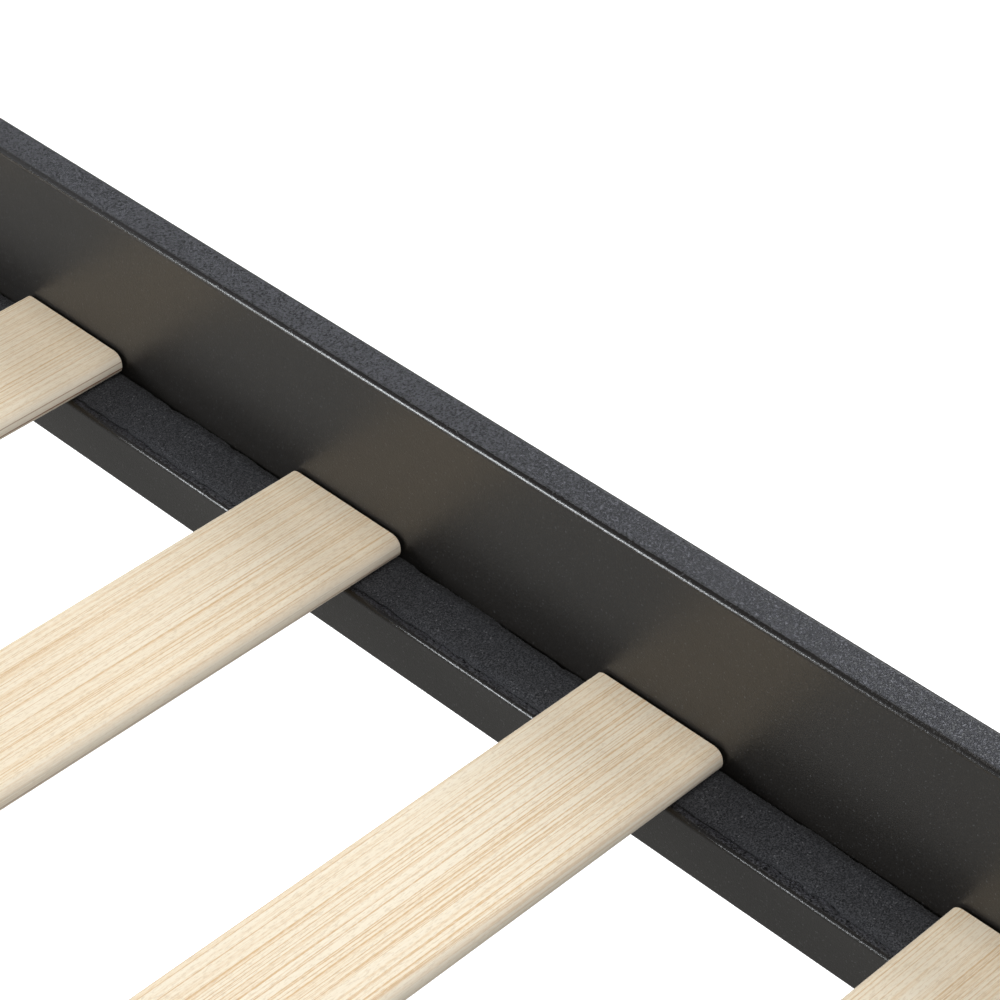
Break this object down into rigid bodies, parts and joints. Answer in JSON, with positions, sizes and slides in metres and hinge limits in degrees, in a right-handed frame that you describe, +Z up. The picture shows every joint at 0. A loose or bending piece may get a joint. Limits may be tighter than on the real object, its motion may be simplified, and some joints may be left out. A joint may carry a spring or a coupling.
{
  "type": "metal bed frame",
  "caption": "Low metal bed frame with corner posts, box side rails, a centre beam and loose wooden slats resting on felt tape.",
  "frame": {"origin": "on the floor, under the middle of the frame", "axes": "+Z up, +Y along the side rails towards the head, +X to the right seen from the foot"},
  "size_m": [1.566, 2.076, 0.3558],
  "materials": {
    "frame_coat": "satin, fine-textured dark powder coat",
    "slat_wood": "sanded pale laminated veneer, unfinished",
    "felt_tape": "matt black needled felt with a cut edge",
    "black_plastic": "fine moulded texture",
    "bolt_steel": "black zinc"
  },
  "bodies": {
    "frame": {"side_rail_left": "frame_coat", "side_rail_right": "frame_coat", "slat_ledge_left": "frame_coat", "slat_ledge_right": "frame_coat", "ledge_tape_left": "felt_tape", "ledge_tape_right": "felt_tape", "foot_rail": "frame_coat", "head_rail": "frame_coat", "post_foot_left": "frame_coat", "post_foot_right": "frame_coat", "post_head_left": "frame_coat", "post_head_right": "frame_coat", "post_cap_foot_left": "black_plastic", "post_cap_foot_right": "black_plastic", "post_cap_head_left": "black_plastic", "post_cap_head_right": "black_plastic", "floor_glide_foot_left": "black_plastic", "floor_glide_foot_right": "black_plastic", "floor_glide_head_left": "black_plastic", "floor_glide_head_right": "black_plastic", "rail_end_plate_foot_left": "frame_coat", "rail_end_plate_foot_right": "frame_coat", "rail_end_plate_head_left": "frame_coat", "rail_end_plate_head_right": "frame_coat", "rail_bolt_foot_left_1": "bolt_steel", "rail_bolt_foot_left_2": "bolt_steel", "rail_bolt_foot_right_1": "bolt_steel", "rail_bolt_foot_right_2": "bolt_steel", "rail_bolt_head_left_1": "bolt_steel", "rail_bolt_head_left_2": "bolt_steel", "rail_bolt_head_right_1": "bolt_steel", "rail_bolt_head_right_2": "bolt_steel", "centre_beam": "frame_coat", "beam_tape": "felt_tape", "beam_saddle_foot": "frame_coat", "beam_saddle_head": "frame_coat", "beam_bolt_foot": "bolt_steel", "beam_bolt_head": "bolt_steel", "centre_leg_foot": "frame_coat", "centre_leg_head": "frame_coat", "leg_insert_foot": "black_plastic", "leg_insert_head": "black_plastic", "leg_bolt_foot_1": "bolt_steel", "leg_bolt_foot_2": "bolt_steel", "leg_bolt_head_1": "bolt_steel", "leg_bolt_head_2": "bolt_steel"},
    "slat_01_board": {"slat_01": "slat_wood"},
    "slat_02_board": {"slat_02": "slat_wood"},
    "slat_03_board": {"slat_03": "slat_wood"},
    "slat_04_board": {"slat_04": "slat_wood"},
    "slat_05_board": {"slat_05": "slat_wood"},
    "slat_06_board": {"slat_06": "slat_wood"},
    "slat_07_board": {"slat_07": "slat_wood"},
    "slat_08_board": {"slat_08": "slat_wood"},
    "slat_09_board": {"slat_09": "slat_wood"},
    "slat_10_board": {"slat_10": "slat_wood"},
    "slat_11_board": {"slat_11": "slat_wood"},
    "slat_12_board": {"slat_12": "slat_wood"},
    "leveller_foot_screw": {"leveller_foot": "black_plastic"},
    "leveller_head_screw": {"leveller_head": "black_plastic"}
  },
  "joints": [
    {"name": "slat_01_lift", "type": "slide", "parent": "frame", "child": "slat_01_board", "axis": [0, 0, 1], "range_m": [0, 0.1]},
    {"name": "slat_02_lift", "type": "slide", "parent": "frame", "child": "slat_02_board", "axis": [0, 0, 1], "range_m": [0, 0.1]},
    {"name": "slat_03_lift", "type": "slide", "parent": "frame", "child": "slat_03_board", "axis": [0, 0, 1], "range_m": [0, 0.1]},
    {"name": "slat_04_lift", "type": "slide", "parent": "frame", "child": "slat_04_board", "axis": [0, 0, 1], "range_m": [0, 0.1]},
    {"name": "slat_05_lift", "type": "slide", "parent": "frame", "child": "slat_05_board", "axis": [0, 0, 1], "range_m": [0, 0.1]},
    {"name": "slat_06_lift", "type": "slide", "parent": "frame", "child": "slat_06_board", "axis": [0, 0, 1], "range_m": [0, 0.1]},
    {"name": "slat_07_lift", "type": "slide", "parent": "frame", "child": "slat_07_board", "axis": [0, 0, 1], "range_m": [0, 0.1]},
    {"name": "slat_08_lift", "type": "slide", "parent": "frame", "child": "slat_08_board", "axis": [0, 0, 1], "range_m": [0, 0.1]},
    {"name": "slat_09_lift", "type": "slide", "parent": "frame", "child": "slat_09_board", "axis": [0, 0, 1], "range_m": [0, 0.1]},
    {"name": "slat_10_lift", "type": "slide", "parent": "frame", "child": "slat_10_board", "axis": [0, 0, 1], "range_m": [0, 0.1]},
    {"name": "slat_11_lift", "type": "slide", "parent": "frame", "child": "slat_11_board", "axis": [0, 0, 1], "range_m": [0, 0.1]},
    {"name": "slat_12_lift", "type": "slide", "parent": "frame", "child": "slat_12_board", "axis": [0, 0, 1], "range_m": [0, 0.1]},
    {"name": "leveller_foot_height", "type": "slide", "parent": "frame", "child": "leveller_foot_screw", "axis": [0, 0, -1], "range_m": [0, 0.012]},
    {"name": "leveller_head_height", "type": "slide", "parent": "frame", "child": "leveller_head_screw", "axis": [0, 0, -1], "range_m": [0, 0.012]}
  ]
}
